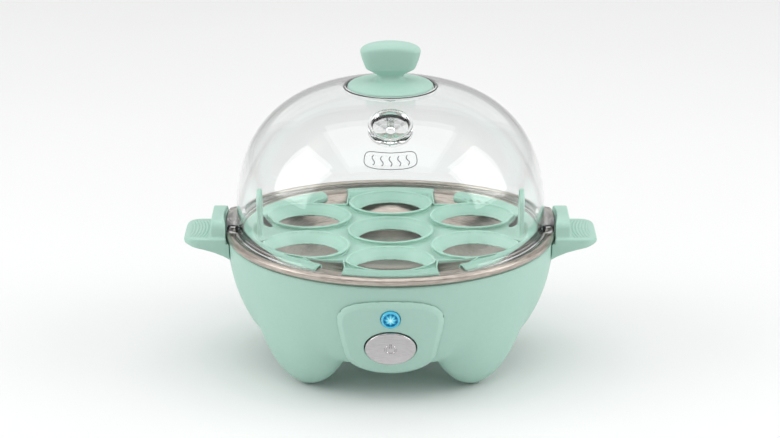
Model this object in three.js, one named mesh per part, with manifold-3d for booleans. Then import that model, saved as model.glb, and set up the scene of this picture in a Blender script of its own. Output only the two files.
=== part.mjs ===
// A countertop egg cooker: a bowl-shaped base on four moulded legs, a steel heating plate with a
// rolled rim, a lift-out tray for seven eggs, and a clear domed lid with a steam vent and a knob.
// Millimetres, +Z up, the front of the cooker faces -Y, the origin is on the table under its centre.

import * as THREE from "three";
import { mergeVertices } from "three/addons/utils/BufferGeometryUtils.js";
import Module from "manifold-3d";

const wasm = await Module();
wasm.setup();

const rad = THREE.MathUtils.degToRad;

// ---------------------------------------------------------------- driving dimensions

const GAP = 0.3; // clearance between pieces that touch
const RING_STEPS = 36; // facets round the large turned pieces
const BOWL_STEPS = 40; // facets round the base
const SMALL_STEPS = 16; // facets round screws, studs and holes

// The base: an ellipsoid bowl, flat underneath, that four egg-shaped lobes swell out of as legs.
const BOWL = { radius: 80, depth: 76, centreZ: 61, topZ: 63.1, bottomZ: 16, wall: 3, opening: 23 };
const BOWL_EDGE = { high: 6, inset: 7 }; // how the bowl rounds into its flat bottom
const LOBE = { reach: 57.1, centreZ: 68.5, long: 67.9, thick: 22.7, wide: 35.1 };
const COVER = { radius: 32, bottomZ: 13.5, topZ: 15.6 };
const FOOT = { radius: 2.8, height: 2.6 };

// The heating plate: a shallow steel dish with a ledge and a rolled rim.
const RIM = { radius: 81, bottomZ: 63.4, topZ: 67.4, seatR: 77.6, ledgeZ: 64.3 };
const DISH = { floorZ: 49, floorR: 46, sheet: 0.9, wallR: 69.8 };

// The clear dome: r = radius * cos(t)^roundR and z = baseZ + height * sin(t)^roundZ.
const DOME = { radius: 75.56, baseZ: 72.97, height: 65.95, roundR: 0.746, roundZ: 0.831 };
const DOME_INSIDE = { radius: 73.5, baseZ: 72.97, height: 61.8, roundR: 0.746, roundZ: 0.831 };
const KNOB = { seatR: 21.1, seatZ: 137.2, discR: 20.7, topZ: 159.6, flatness: 0.6 };
const VENT = { y: -47, z: 130.5, lean: rad(27.9), collarR: 10.5, bore: 2.2 };
const LUG = { inner: 74.6, out: 81.2, half: 16, bottomZ: 67.8, topZ: 71.6 };

// The egg tray.
const CUP = { circle: 47, count: 6 };
const TRAY = { radius: 73, plateZ: 61.5, plateTopZ: 63.2, tabX: 65.5, tabTopZ: 86 };

// The side handles, each with an upright tab that stands outside one of the lid's lugs.
const HANDLE = {
  tipX: 101.5,
  topZ: 65,
  half: 16.5,
  corner: 8,
  tabOut: 87.7,
  tabTopZ: 73.3,
  tabHalf: 14.8,
  tabCorner: 4,
  clearR: 81.7,
};

// The control panel on the front of the bowl.
const PANEL = { proud: 2.4, topZ: 56.4, bottomZ: 13.9 };
const BUTTON = { z: 31.9, half: 12, halfHigh: 10.2, proud: 3.4, flange: 1.5 };
const LENS = { z: 48.1, radius: 4.4, ringR: 3.3 };
const SWITCH = { width: 13, height: 9, front: -10.6, back: -19, bore: 2 };

// What hangs under the dish, measured down from its underside.
const STUD = { radius: 2.2, hole: 2.7, length: 20 };
const ELEMENT = { radius: 28, tube: 3, gapAngle: rad(50), legLength: 9, legR: 1.6 };
const SPREADER = { radius: 38, sheet: 1.8 };
const CLAMP = { length: 66, width: 9, sheet: 1.5 };
const BRACKET = { length: 26, width: 9, sheet: 1.2 };
const SHIELD = { radius: 40, flareR: 47, flare: 3.4, sheet: 0.8 };

// Fixings and fittings of the base.
const COVER_SCREW = { circle: 28.2, radius: 1.3, hole: 1.7, length: 10, headR: 2.8, headZ: 12 };
const COVER_BOSS = { radius: 4, bottomZ: 16.7, topZ: 23.5 };
const HANDLE_SCREW = { z: 57.5, headX: 73.6, wallX: 75.6, endX: 86, radius: 1.3, hole: 1.7, headR: 2.3 };
const GLAND = { z: 27, y: 71.5, hole: 5.6, bore: 3.7, collarR: 8.2, inner: -13.6, outer: 5.4, nutR: 8.4 };
const TERMINALS = { x: -9, y: 4, pitch: 5, width: 16.5, depth: 8, height: 7.6, wayZ: 3.4, wayR: 1.5 };
const BOARD = { y: 2, z: 16.7, width: 35, depth: 24, sheet: 1.6 };

// ---------------------------------------------------------------- solids

// A closed geometry as a manifold solid whose faces look out.
function solid(geometry) {
  const plain = geometry.index ? geometry.toNonIndexed() : geometry.clone();
  plain.deleteAttribute("normal");
  plain.deleteAttribute("uv");
  const merged = mergeVertices(plain, 1e-4);
  const corners = merged.index.array;
  const kept = [];
  for (let i = 0; i < corners.length; i += 3) {
    const [a, b, c] = [corners[i], corners[i + 1], corners[i + 2]];
    if (a !== b && b !== c && c !== a) kept.push(a, b, c);
  }
  const made = (triangles) =>
    new wasm.Manifold(
      new wasm.Mesh({
        numProp: 3,
        vertProperties: merged.attributes.position.array,
        triVerts: new Uint32Array(triangles),
      }),
    );
  const first = made(kept);
  return first.volume() < 0 ? made(kept.reverse()) : first;
}

function join(...solids) {
  return solids.reduce((whole, piece) => whole.add(piece));
}

function cut(whole, ...tools) {
  return tools.reduce((left, tool) => left.subtract(tool), whole);
}

// The solid as a named mesh of the scene graph.
function part(name, body, material) {
  const mesh = body.getMesh();
  const positions = new Float32Array(mesh.numVert * 3);
  for (let i = 0; i < mesh.numVert; i++) {
    positions.set(mesh.vertProperties.subarray(i * mesh.numProp, i * mesh.numProp + 3), i * 3);
  }
  const geometry = new THREE.BufferGeometry();
  geometry.setAttribute("position", new THREE.BufferAttribute(positions, 3));
  geometry.setIndex(new THREE.BufferAttribute(new Uint32Array(mesh.triVerts), 1));
  geometry.computeVertexNormals();
  const named = new THREE.Mesh(geometry, material);
  named.name = name;
  return named;
}

// A profile of [radius, height] points turned about Z; it closes on itself unless it ends on the axis.
function turned(profile, steps = RING_STEPS) {
  const points = profile.map(([r, z]) => new THREE.Vector2(r, z));
  const onAxis = profile[0][0] === 0 && profile.at(-1)[0] === 0;
  if (!onAxis) points.push(points[0].clone());
  return new THREE.LatheGeometry(points, steps).rotateX(Math.PI / 2);
}

function disc(radius, bottom, top, steps = SMALL_STEPS) {
  return turned([[0, bottom], [radius, bottom], [radius, top], [0, top]], steps);
}

function block(x, y, z, width, depth, height) {
  return new THREE.BoxGeometry(width, depth, height).translate(x, y, z);
}

// A closed outline of [x, y] points, extruded up from bottom to top.
function slab(outline, bottom, top) {
  const shape = new THREE.Shape(outline.map(([x, y]) => new THREE.Vector2(x, y)));
  const geometry = new THREE.ExtrudeGeometry(shape, { depth: top - bottom, bevelEnabled: false });
  return geometry.translate(0, 0, bottom);
}

// A round wire along a smooth curve through the points.
function wire(points, radius, sides = 8) {
  const path = new THREE.CatmullRomCurve3(points.map((p) => new THREE.Vector3(...p)));
  const section = new THREE.Shape();
  for (let i = 0; i < sides; i++) {
    const a = (2 * Math.PI * i) / sides;
    section[i ? "lineTo" : "moveTo"](radius * Math.cos(a), radius * Math.sin(a));
  }
  const steps = points.length * 3;
  return new THREE.ExtrudeGeometry(section, { steps, extrudePath: path, bevelEnabled: false });
}

// ---------------------------------------------------------------- the shape of the base

// The bowl alone, grown by offset, from its flat bottom up to its mouth.
function bowlSolid(offset) {
  const bottom = BOWL.bottomZ - offset;
  const rows = 9;
  const profile = [[0, bottom]];
  for (let row = 0; row <= rows; row++) {
    const z = bottom + (BOWL.topZ - bottom) * (row / rows) ** 1.25;
    const share = (z - BOWL.centreZ) / (BOWL.depth + offset);
    const ease = Math.max(0, 1 - (z - bottom) / BOWL_EDGE.high);
    const r = (BOWL.radius + offset) * Math.sqrt(1 - share * share);
    profile.push([r - BOWL_EDGE.inset * ease * ease, z]);
  }
  profile.push([0, BOWL.topZ]);
  return solid(turned(profile, BOWL_STEPS));
}

// One leg's lobe, grown by offset: a tall ellipsoid, cut at the bowl's mouth.
function lobeSolid(angle, offset) {
  const shape = new THREE.SphereGeometry(1, 16, 16).rotateX(Math.PI / 2);
  shape.scale(LOBE.thick + offset, LOBE.wide + offset, LOBE.long + offset);
  const lobe = solid(shape.translate(LOBE.reach, 0, LOBE.centreZ).rotateZ(angle));
  return cut(lobe, solid(block(0, 0, BOWL.topZ + 50, 300, 300, 100)));
}

// The whole outside of the base as one solid, grown by offset.
function skinSolid(offset) {
  const lobes = feet.map(([, sx, sy]) => lobeSolid(Math.atan2(sy, sx), offset));
  return join(bowlSolid(offset), ...lobes);
}

// Where the bowl's front meridian is at height z: a frame whose own Z looks straight out of it.
function frontFrame(z) {
  const share = (z - BOWL.centreZ) / BOWL.depth;
  const y = -BOWL.radius * Math.sqrt(1 - share * share);
  const lean = Math.atan2(-share / BOWL.depth, -y / (BOWL.radius * BOWL.radius));
  return new THREE.Matrix4().makeRotationX(Math.PI / 2 + lean).setPosition(0, y, z);
}

function ellipse(halfWide, halfHigh, steps = 32) {
  const point = (i) => {
    const a = (2 * Math.PI * i) / steps;
    return [halfWide * Math.cos(a), halfHigh * Math.sin(a)];
  };
  return Array.from({ length: steps }, (_, i) => point(i));
}

// A bowl-shaped body offset from the bowl, for curving the panel and the button like it.
function bowlBody(offset) {
  return solid(
    new THREE.SphereGeometry(1, 48, 36)
      .scale(BOWL.radius + offset, BOWL.radius + offset, BOWL.depth + offset)
      .translate(0, 0, BOWL.centreZ),
  );
}

// ---------------------------------------------------------------- materials

const mint = new THREE.MeshStandardMaterial({ color: 0xa9cdbf, roughness: 0.42, metalness: 0 });
const trayMint = new THREE.MeshStandardMaterial({ color: 0x9ccab8, roughness: 0.45, metalness: 0 });
const clear = new THREE.MeshStandardMaterial({
  color: 0xf4f8f8,
  roughness: 0.05,
  metalness: 0,
  transparent: true,
  opacity: 0.22,
});
const steel = new THREE.MeshStandardMaterial({ color: 0xc8c0b8, roughness: 0.3, metalness: 1 });
const satin = new THREE.MeshStandardMaterial({ color: 0xc9c6c6, roughness: 0.35, metalness: 1 });
const blue = new THREE.MeshStandardMaterial({ color: 0x22b4dc, roughness: 0.1, metalness: 0 });
const black = new THREE.MeshStandardMaterial({ color: 0x1c1d1e, roughness: 0.6, metalness: 0 });
const rubber = new THREE.MeshStandardMaterial({ color: 0x3a3c3c, roughness: 0.85, metalness: 0 });
const silicone = new THREE.MeshStandardMaterial({ color: 0xd8d8d2, roughness: 0.7, metalness: 0 });
const aluminium = new THREE.MeshStandardMaterial({ color: 0xb9bcbf, roughness: 0.4, metalness: 1 });
const zinc = new THREE.MeshStandardMaterial({ color: 0x9fa2a4, roughness: 0.35, metalness: 1 });
const board = new THREE.MeshStandardMaterial({ color: 0x2e6b45, roughness: 0.55, metalness: 0 });
const ceramic = new THREE.MeshStandardMaterial({ color: 0xe6dfd0, roughness: 0.6, metalness: 0 });

// ---------------------------------------------------------------- the base

const root = new THREE.Group();
const base = new THREE.Group();
const controls = new THREE.Group();
const heater = new THREE.Group();
const electrics = new THREE.Group();
const lid = new THREE.Group();
const tray = new THREE.Group();
root.add(base, controls, heater, electrics, lid, tray);

const feet = [
  ["front_left", -1, -1],
  ["front_right", 1, -1],
  ["back_left", -1, 1],
  ["back_right", 1, 1],
];
const footSpread = LOBE.reach / Math.SQRT2;
const skin = skinSolid(GAP + 0.05);
const buttonFrame = frontFrame(BUTTON.z);
const lensFrame = frontFrame(LENS.z);
const glandFrame = new THREE.Matrix4().makeRotationX(-Math.PI / 2).setPosition(0, GLAND.y, GLAND.z);

// The same upright disc four times, at the places of the cover's screws.
function atCoverScrews(radius, bottom, top) {
  return [0, 1, 2, 3].map((i) => {
    const one = disc(radius, bottom, top).translate(COVER_SCREW.circle, 0, 0);
    return solid(one.rotateZ((i * Math.PI) / 2));
  });
}

// The hole behind the button, which gives its flange room.
function buttonOpening() {
  const outline = ellipse(BUTTON.half + BUTTON.flange + 1.1, BUTTON.halfHigh + BUTTON.flange + 1.1);
  return solid(slab(outline, -12, 6).applyMatrix4(buttonFrame));
}

// The hole for the bushing, with a flat seat for its nut.
function glandOpening() {
  const { hole, inner, nutR } = GLAND;
  return join(
    solid(disc(hole, -12, 6).applyMatrix4(glandFrame)),
    solid(slab(ellipse(nutR + 0.5, nutR + 0.5, 6), inner, inner + 4.2).applyMatrix4(glandFrame)),
  );
}

function footSockets() {
  return feet.map(([, sx, sy]) => {
    const socket = disc(FOOT.radius + GAP, -2, FOOT.height);
    return solid(socket.translate(sx * footSpread, sy * footSpread, 0));
  });
}

function handleScrewHoles() {
  return [-1, 1].map((side) => {
    const bore = disc(HANDLE_SCREW.hole, -12, 12).rotateY(Math.PI / 2);
    return solid(bore.translate(side * 79, 0, HANDLE_SCREW.z));
  });
}

function housing() {
  const shell = cut(skinSolid(0), skinSolid(-BOWL.wall));
  return cut(
    join(shell, ...atCoverScrews(COVER_BOSS.radius, COVER_BOSS.bottomZ, COVER_BOSS.topZ)),
    solid(disc(BOWL.opening, 5, 30, BOWL_STEPS)),
    buttonOpening(),
    solid(disc(LENS.radius + 1.4, -10, 6).applyMatrix4(lensFrame)),
    glandOpening(),
    ...atCoverScrews(COVER_SCREW.hole, 5, 30),
    ...footSockets(),
    ...handleScrewHoles(),
  );
}

base.add(part("base_housing", housing(), mint));

for (const [place, sx, sy] of feet) {
  const pad = part("foot_pad_" + place, solid(disc(FOOT.radius, 0, FOOT.height - GAP)), rubber);
  pad.position.set(sx * footSpread, sy * footSpread, 0);
  base.add(pad);
}

// The cover underneath, with cooling slots and four screw holes.
function bottomCover() {
  const vents = [];
  for (let i = -2; i <= 2; i++) {
    const length = i % 2 ? 22 : 30;
    vents.push(solid(block(i * 6, 0, COVER.topZ, 2.4, length, 8)));
  }
  const { radius, bottomZ, topZ } = COVER;
  const plate = turned([
    [0, bottomZ],
    [radius - 1, bottomZ],
    [radius, bottomZ + 0.8],
    [radius, topZ],
    [0, topZ],
  ], BOWL_STEPS);
  return cut(solid(plate), ...vents, ...atCoverScrews(COVER_SCREW.hole, 5, 20));
}

base.add(part("bottom_cover", bottomCover(), mint));

// A pan-head screw pointing up from its head at z = 0, with a cross recess.
function screw(headR, headHigh, shankR, length) {
  const body = solid(turned([
    [0, 0],
    [headR * 0.7, 0],
    [headR, headHigh * 0.45],
    [headR, headHigh],
    [shankR, headHigh],
    [shankR, length],
    [0, length],
  ], 12));
  const slots = [0, 1].map((i) =>
    solid(block(0, 0, 0, headR * 1.1, headR * 0.28, headHigh * 0.8).rotateZ((i * Math.PI) / 2)),
  );
  return cut(body, ...slots);
}

for (let i = 0; i < 4; i++) {
  const angle = (i * Math.PI) / 2;
  const { circle, radius, length, headR, headZ } = COVER_SCREW;
  const made = part("cover_screw_" + (i + 1), screw(headR, 1.2, radius, length), zinc);
  made.position.set(circle * Math.cos(angle), circle * Math.sin(angle), headZ);
  base.add(made);
}

// Points of a quarter circle, from one angle to another, both in degrees.
function arcPoints(x, y, radius, from, to, count) {
  return Array.from({ length: count + 1 }, (_, i) => {
    const a = rad(from + ((to - from) * i) / count);
    return [x + radius * Math.cos(a), y + radius * Math.sin(a)];
  });
}

// The handle's grip: thin at its tip, thicker towards the bowl, with rounded outer corners.
function handleGrip() {
  const { tipX, topZ, half, corner } = HANDLE;
  const side = [
    [70, topZ],
    [tipX - 4, topZ],
    [tipX - 1.2, topZ - 0.6],
    [tipX, topZ - 2],
    [tipX - 0.8, topZ - 3.4],
    [tipX - 5, topZ - 4],
    [88, topZ - 6.2],
    [82, topZ - 8.2],
    [76, topZ - 11],
    [70, topZ - 11],
  ];
  const plan = [
    [60, -half],
    [60, half],
    ...arcPoints(tipX - corner, half - corner, corner, 90, 0, 6),
    ...arcPoints(tipX - corner, corner - half, corner, 0, -90, 6),
  ];
  return solid(slab(side, -half, half).rotateX(Math.PI / 2)).intersect(solid(slab(plan, 40, 90)));
}

// The upright tab at the handle's root.
function handleTab() {
  const { topZ, tabOut, tabTopZ, tabHalf, tabCorner } = HANDLE;
  const front = [
    [-tabHalf, topZ - 3],
    [tabHalf, topZ - 3],
    ...arcPoints(tabHalf - tabCorner, tabTopZ - tabCorner, tabCorner, 0, 90, 4),
    ...arcPoints(tabCorner - tabHalf, tabTopZ - tabCorner, tabCorner, 90, 180, 4),
  ];
  return solid(slab(front, 78, tabOut).rotateX(Math.PI / 2).rotateZ(Math.PI / 2));
}

// A handle along +X: its grip, its upright tab and a rib underneath that takes the screw.
function handle() {
  const ribSide = [[70, 51.5], [90, 56.4], [92.5, 58.5], [92.5, 62], [70, 62]];
  const rib = solid(slab(ribSide, -5.5, 5.5).rotateX(Math.PI / 2));
  const bore = disc(HANDLE_SCREW.hole, -10, 10).rotateY(Math.PI / 2);
  return cut(
    join(handleGrip(), rib, handleTab()),
    skin,
    solid(disc(HANDLE.clearR, BOWL.topZ - 0.6, 90, RING_STEPS)),
    solid(bore.translate(77.4, 0, HANDLE_SCREW.z)),
  );
}

function handleScrew() {
  const { headR, radius, headX, wallX, endX } = HANDLE_SCREW;
  return screw(headR, wallX - headX, radius, endX - headX);
}

for (const [place, turn] of [["right", 0], ["left", Math.PI]]) {
  const pin = part("handle_screw_" + place, handleScrew(), zinc);
  pin.rotation.y = Math.PI / 2;
  pin.position.set(HANDLE_SCREW.headX, 0, HANDLE_SCREW.z);
  const both = new THREE.Group();
  both.rotation.z = turn;
  both.add(part("handle_" + place, handle(), mint), pin);
  base.add(both);
}

// A bushing through the back wall for the mains lead: its collar follows the bowl outside.
function cordGland() {
  const { hole, bore, collarR, inner, outer } = GLAND;
  const collar = turned([
    [0, -8],
    [collarR, -8],
    [collarR, 2.4],
    [hole + 1, outer - 0.6],
    [hole, outer],
    [0, outer],
  ], 24);
  return cut(
    join(
      cut(solid(collar.applyMatrix4(glandFrame)), skin),
      solid(disc(hole - GAP, inner, outer - 1, 24).applyMatrix4(glandFrame)),
    ),
    solid(disc(bore, inner - 2, outer + 2, 24).applyMatrix4(glandFrame)),
  );
}

base.add(part("cord_gland", cordGland(), black));

// The nut that holds the bushing from inside.
function glandNut() {
  const { hole, inner, nutR } = GLAND;
  const hexagon = slab(ellipse(nutR, nutR, 6), inner + 0.4, inner + 3.8);
  return cut(solid(hexagon), solid(disc(hole, inner - 2, 2, 24)));
}

base.add(part("gland_nut", glandNut().transform(glandFrame.elements), black));

// ---------------------------------------------------------------- the controls

// The panel's outline from the front, as [x, z]: arched on top, tapering down to a full curve.
function panelOutline() {
  const shape = new THREE.Shape();
  shape.moveTo(0, PANEL.topZ);
  shape.bezierCurveTo(-12, PANEL.topZ, -25.2, 55, -25.2, 45.2);
  shape.bezierCurveTo(-25.2, 40.5, -22.6, 30, -21.8, 25.5);
  shape.bezierCurveTo(-20.6, 18.5, -12, PANEL.bottomZ, 0, PANEL.bottomZ);
  const left = shape.getPoints(9).slice(0, -1);
  const right = left.map((p) => new THREE.Vector2(-p.x, p.y)).reverse();
  const bottom = new THREE.Vector2(0, PANEL.bottomZ);
  return [...left, bottom, ...right.slice(0, -1)].map((p) => [p.x, p.y]);
}

function controlPanel() {
  const front = solid(slab(panelOutline(), 40, 100).rotateX(Math.PI / 2));
  return cut(
    front.intersect(bowlBody(PANEL.proud)),
    skin,
    solid(slab(ellipse(BUTTON.half + 0.5, BUTTON.halfHigh + 0.5), -12, 8).applyMatrix4(buttonFrame)),
    solid(disc(LENS.radius + GAP, -12, 8).applyMatrix4(lensFrame)),
  );
}

controls.add(part("control_panel", controlPanel(), mint));

// The button: an oval cap curved like the panel, a flange that keeps it in, and a stem behind.
function powerButton() {
  const cap = slab(ellipse(BUTTON.half, BUTTON.halfHigh), -2.4, 6).applyMatrix4(buttonFrame);
  const flange = slab(ellipse(BUTTON.half + BUTTON.flange, BUTTON.halfHigh), -3, -1.8);
  return join(
    solid(cap).intersect(bowlBody(BUTTON.proud)),
    solid(flange.applyMatrix4(buttonFrame)),
    solid(disc(3, -6.9, -2.6).applyMatrix4(buttonFrame)),
  );
}

controls.add(part("power_button", powerButton(), satin));

// The indicator lens: a faceted jewel in a round rim, with a barrel through the wall.
function indicatorLens() {
  const { radius, ringR } = LENS;
  return solid(turned([
    [0, -6],
    [radius - 0.6, -6],
    [radius - 0.6, -3],
    [radius, -3],
    [radius, 2.8],
    [radius - 0.5, 3.4],
    [ringR, 2.9],
    [ringR - 0.3, 2.5],
    [1.4, 3.3],
    [0, 3.5],
  ], 16).applyMatrix4(lensFrame));
}

controls.add(part("indicator_lens", indicatorLens(), blue));

// The ring that holds the lens from inside, with a flat side next to the button.
function lensRetainer() {
  const inner = LENS.radius - 0.3;
  const outer = 7.6;
  const ring = turned([[inner, -5.6], [outer, -5.6], [outer, -4], [inner, -4]], 20);
  return cut(solid(ring), solid(block(0, -15.2, -5, 30, 20, 10)));
}

controls.add(part("lens_retainer", lensRetainer().transform(lensFrame.elements), black));

// The lamp behind the lens: a small domed light with a foot flange.
function indicatorLamp() {
  return solid(turned([
    [0, -12],
    [2.9, -12],
    [2.9, -11],
    [2.5, -11],
    [2.5, -8],
    [1.5, -6.6],
    [0, -6.3],
  ], 16));
}

controls.add(part("indicator_lamp", indicatorLamp().transform(lensFrame.elements), ceramic));

const plunger = solid(disc(SWITCH.bore - GAP, -14, -7.2, 12));
controls.add(part("switch_plunger", plunger.transform(buttonFrame.elements), ceramic));

// The switch behind the button, with a bore that its plunger slides in.
function powerSwitch() {
  const { width, height, front, back, bore } = SWITCH;
  return cut(
    solid(block(0, 0, (front + back) / 2, width, height, front - back)),
    solid(disc(bore, -17.5, -8, 12)),
  );
}

controls.add(part("power_switch", powerSwitch().transform(buttonFrame.elements), black));

// A strap across the front of the switch that reaches the wall on both sides.
function switchBracket() {
  return cut(solid(block(0, 0, -9.6, 42, 8.4, 1.2)), solid(disc(SWITCH.bore + 0.6, -12, -7, 16)));
}

controls.add(part("switch_bracket", switchBracket().transform(buttonFrame.elements), zinc));

// ---------------------------------------------------------------- the heater

// The dish, its ledge and its rolled rim, as one sheet that is thick at the roll.
function heatingPlate() {
  const { radius, bottomZ, topZ, seatR, ledgeZ } = RIM;
  const { floorZ, floorR, sheet, wallR } = DISH;
  const wall = [[floorR, 0], [53, 0.9], [58.6, 4], [63.4, 8.4], [66.8, 12.6], [wallR - 0.6, 14.9]];
  const above = wall.map(([r, z]) => [r, floorZ + z]);
  const grow = [0, 0.35, 0.35, 0.7, 0.7, 0.7];
  const below = wall.map(([r, z], i) => [r + grow[i], floorZ + z - sheet]);
  return solid(turned([
    [0, floorZ],
    ...above,
    [wallR, ledgeZ],
    [seatR, ledgeZ],
    [seatR, topZ - 0.6],
    [seatR + 0.7, topZ],
    [radius - 1.3, topZ],
    [radius - 0.3, topZ - 0.8],
    [radius, topZ - 2],
    [radius - 0.3, bottomZ + 0.4],
    [radius - 0.9, bottomZ],
    [wallR + 0.6, bottomZ],
    ...below.reverse(),
    [0, floorZ - sheet],
  ]));
}

heater.add(part("heating_plate", heatingPlate(), steel));

// Everything under the dish hangs from one stud at its centre, each piece below the one before.
const under = DISH.floorZ - DISH.sheet - GAP;
const elementTopZ = under - SPREADER.sheet - GAP;
const elementZ = elementTopZ - ELEMENT.tube;
const clampZ = elementTopZ - 2 * ELEMENT.tube - GAP;
const bracketZ = clampZ - CLAMP.sheet - GAP;
const shieldZ = bracketZ - BRACKET.sheet - GAP;
const nutZ = shieldZ - SHIELD.sheet - GAP;
const terminalX = ELEMENT.radius * Math.sin(ELEMENT.gapAngle / 2);
const terminalY = ELEMENT.radius * Math.cos(ELEMENT.gapAngle / 2) - 1.2;

// The body without the bore that the stud goes through.
function bored(body) {
  return cut(body, solid(disc(STUD.hole, 20, 60, 16)));
}

heater.add(part("clamp_stud", solid(disc(STUD.radius, under - STUD.length, under, 16)), zinc));

const spreader = solid(disc(SPREADER.radius, elementTopZ + GAP, under, BOWL_STEPS));
heater.add(part("heat_spreader", bored(spreader), aluminium));

// The element: a ring of sheathed heating tube, open at the back, with its ends turned down.
function heatingElement() {
  const { radius, tube, gapAngle, legLength, legR } = ELEMENT;
  const start = Math.PI / 2 + gapAngle / 2;
  const sweep = 2 * Math.PI - gapAngle;
  const points = [];
  for (let i = 0; i <= 28; i++) {
    const a = start + (sweep * i) / 28;
    points.push(new THREE.Vector3(radius * Math.cos(a), radius * Math.sin(a), elementZ));
  }
  const extrudePath = new THREE.CatmullRomCurve3(points);
  const section = new THREE.Shape(ellipse(tube, tube, 8).map(([x, y]) => new THREE.Vector2(x, y)));
  const ring = new THREE.ExtrudeGeometry(section, { steps: 26, extrudePath, bevelEnabled: false });
  const legs = [-1, 1].map((side) => {
    const leg = disc(legR, elementZ - legLength, elementZ, 10);
    return solid(leg.translate(side * terminalX, terminalY, 0));
  });
  return join(solid(ring), ...legs);
}

heater.add(part("heating_element", heatingElement(), zinc));

const clamp = block(0, 0, clampZ - CLAMP.sheet / 2, CLAMP.length, CLAMP.width, CLAMP.sheet);
heater.add(part("element_clamp", bored(solid(clamp)), zinc));

const bracket = block(0, 9, bracketZ - BRACKET.sheet / 2, BRACKET.width, BRACKET.length, BRACKET.sheet);
heater.add(part("thermostat_bracket", bored(solid(bracket)), zinc));

const thermostat = disc(7.2, bracketZ + GAP, elementTopZ, 24).translate(0, 14, 0);
heater.add(part("thermostat", solid(thermostat), ceramic));

const fuse = disc(2, -8, 8, 12).rotateY(Math.PI / 2).translate(0, -14, elementTopZ - 2);
heater.add(part("thermal_fuse", solid(fuse), ceramic));

// The shield over the electrics, with two windows that the element's ends pass through.
function heatShield() {
  const { radius, flareR, flare, sheet } = SHIELD;
  const plate = turned([
    [0, shieldZ],
    [radius, shieldZ],
    [flareR, shieldZ + flare],
    [flareR + 0.8, shieldZ + flare - 0.6],
    [radius + 0.5, shieldZ - sheet],
    [0, shieldZ - sheet],
  ], 32);
  const windows = [-1, 1].map((side) => solid(disc(3.6, 20, 60).translate(side * terminalX, terminalY, 0)));
  return cut(bored(solid(plate)), ...windows);
}

heater.add(part("heat_shield", heatShield(), aluminium));
heater.add(part("clamp_nut", bored(solid(slab(ellipse(4.6, 4.6, 6), nutZ - 3.2, nutZ))), zinc));

// A silicone ring that keeps steam and water out between the plate and the housing.
const seal = turned([[72.6, 61.6], [76.4, 61.6], [76.4, 63], [72.6, 63]]);
heater.add(part("plate_seal", solid(seal), silicone));

// ---------------------------------------------------------------- the electrics

const boardPlate = block(0, BOARD.y, BOARD.z, BOARD.width, BOARD.depth, BOARD.sheet);
electrics.add(part("circuit_board", solid(boardPlate), board));
const onBoard = BOARD.z + BOARD.sheet / 2 + GAP;

// The buzzer: a round can with a sound hole in its top.
function buzzer() {
  return solid(turned([
    [0, onBoard],
    [6, onBoard],
    [6, onBoard + 5.6],
    [5.2, onBoard + 6.2],
    [1.2, onBoard + 6.2],
    [1, onBoard + 5],
    [0, onBoard + 5],
  ], 24).translate(10, 3, 0));
}

electrics.add(part("buzzer", buzzer(), black));

// The terminal block: three clamping ways side by side.
function terminalBlock() {
  const { pitch, width, depth, height, wayZ, wayR } = TERMINALS;
  const ways = [-1, 0, 1].map((i) => {
    const way = disc(wayR, -8, 8, 10).rotateX(Math.PI / 2);
    return solid(way.translate(i * pitch, 0, wayZ));
  });
  return cut(solid(block(0, 0, height / 2, width, depth, height)), ...ways);
}

const blockPart = part("terminal_block", terminalBlock(), ceramic);
blockPart.position.set(TERMINALS.x, TERMINALS.y, onBoard);
electrics.add(blockPart);

// Leads inside the base, held between the pieces that they join.
const wayZ = onBoard + TERMINALS.wayZ;
const leftWay = TERMINALS.x - TERMINALS.pitch;
const legEndZ = elementZ - ELEMENT.legLength - GAP;

const elementLead = wire([
  [leftWay, 8.4, wayZ],
  [leftWay, 14, wayZ],
  [leftWay + 1, 20, wayZ + 2],
  [-terminalX, terminalY, legEndZ - 3],
  [-terminalX, terminalY, legEndZ],
], 1);
electrics.add(part("element_lead", solid(elementLead), black));

const switchLead = wire([
  [TERMINALS.x, -0.4, wayZ],
  [TERMINALS.x, -8, wayZ],
  [-9, -26, wayZ + 2.8],
  [-6, -44, 29.5],
  [-4, -51.7, 36.4],
], 1);
electrics.add(part("switch_lead", solid(switchLead), black));

// ---------------------------------------------------------------- the egg tray

// The slot that opens the tray's edge between its front cup and the cup on its left.
const TRAY_SLOT = [
  [-41, -45],
  [-37.5, -53],
  [-32.5, -58],
  [-36.5, -66.5],
  [-24, -76],
  [-22, -66],
  [-22.5, -46],
];
const QUARTERS = [[1, 1], [-1, 1], [1, -1], [-1, -1]];

function cupCollar(x, y) {
  return turned([
    [15.2, 60],
    [16.2, 59.3],
    [21.3, 64.2],
    [21, 65.8],
    [19.8, 65.2],
  ], 16).translate(x, y, 0);
}

// A thumb tab: a plate that stands up on the tray's left or right side, rounded at its top.
function liftTab(side) {
  const half = 7.5;
  const front = [
    [-half, TRAY.plateZ + 0.4],
    [half, TRAY.plateZ + 0.4],
    ...arcPoints(0, TRAY.tabTopZ - half, half, 0, 180, 8),
  ];
  const tab = slab(front, -1.5, 1.5).rotateX(Math.PI / 2).rotateZ(Math.PI / 2);
  return solid(tab.translate(side * (TRAY.tabX - 1.5), 0, 0));
}

function cupCentres() {
  const round = Array.from({ length: CUP.count }, (_, i) => {
    const a = -Math.PI / 2 + (2 * Math.PI * i) / CUP.count;
    return [CUP.circle * Math.cos(a), CUP.circle * Math.sin(a)];
  });
  return [[0, 0], ...round];
}

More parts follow.
